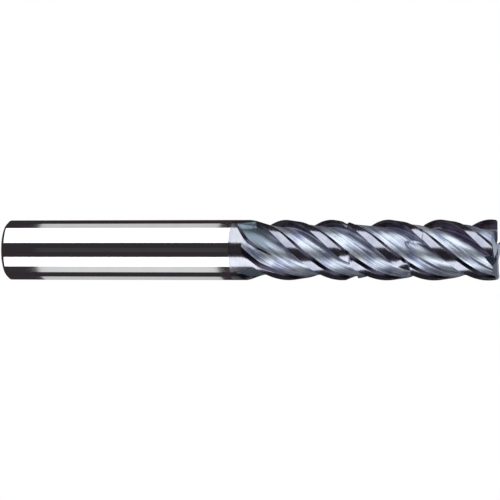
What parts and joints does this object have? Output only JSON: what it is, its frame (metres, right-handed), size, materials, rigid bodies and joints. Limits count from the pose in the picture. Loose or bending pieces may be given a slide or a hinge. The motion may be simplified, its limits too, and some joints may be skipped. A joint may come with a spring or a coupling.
{
  "type": "end mill",
  "caption": "Solid carbide end mill with a plain round shank, coated helical teeth with chip breakers, and end teeth.",
  "frame": {"origin": "centre of the shank's rear face", "axes": "+Z along the tool's axis, from the shank's rear face towards the cutting end; the tool stands on its shank"},
  "size_m": [0.012, 0.012, 0.1],
  "materials": {
    "bare_carbide": "mirror-ground, uncoated",
    "coated_carbide": "satin violet-grey PVD coating over fine grinding lines"
  },
  "bodies": {
    "root": {"shank": "bare_carbide", "flute_runout": "coated_carbide", "flute_core": "coated_carbide", "tooth_1": "coated_carbide", "tooth_2": "coated_carbide", "tooth_3": "coated_carbide", "tooth_4": "coated_carbide", "end_teeth": "coated_carbide"}
  },
  "joints": []
}
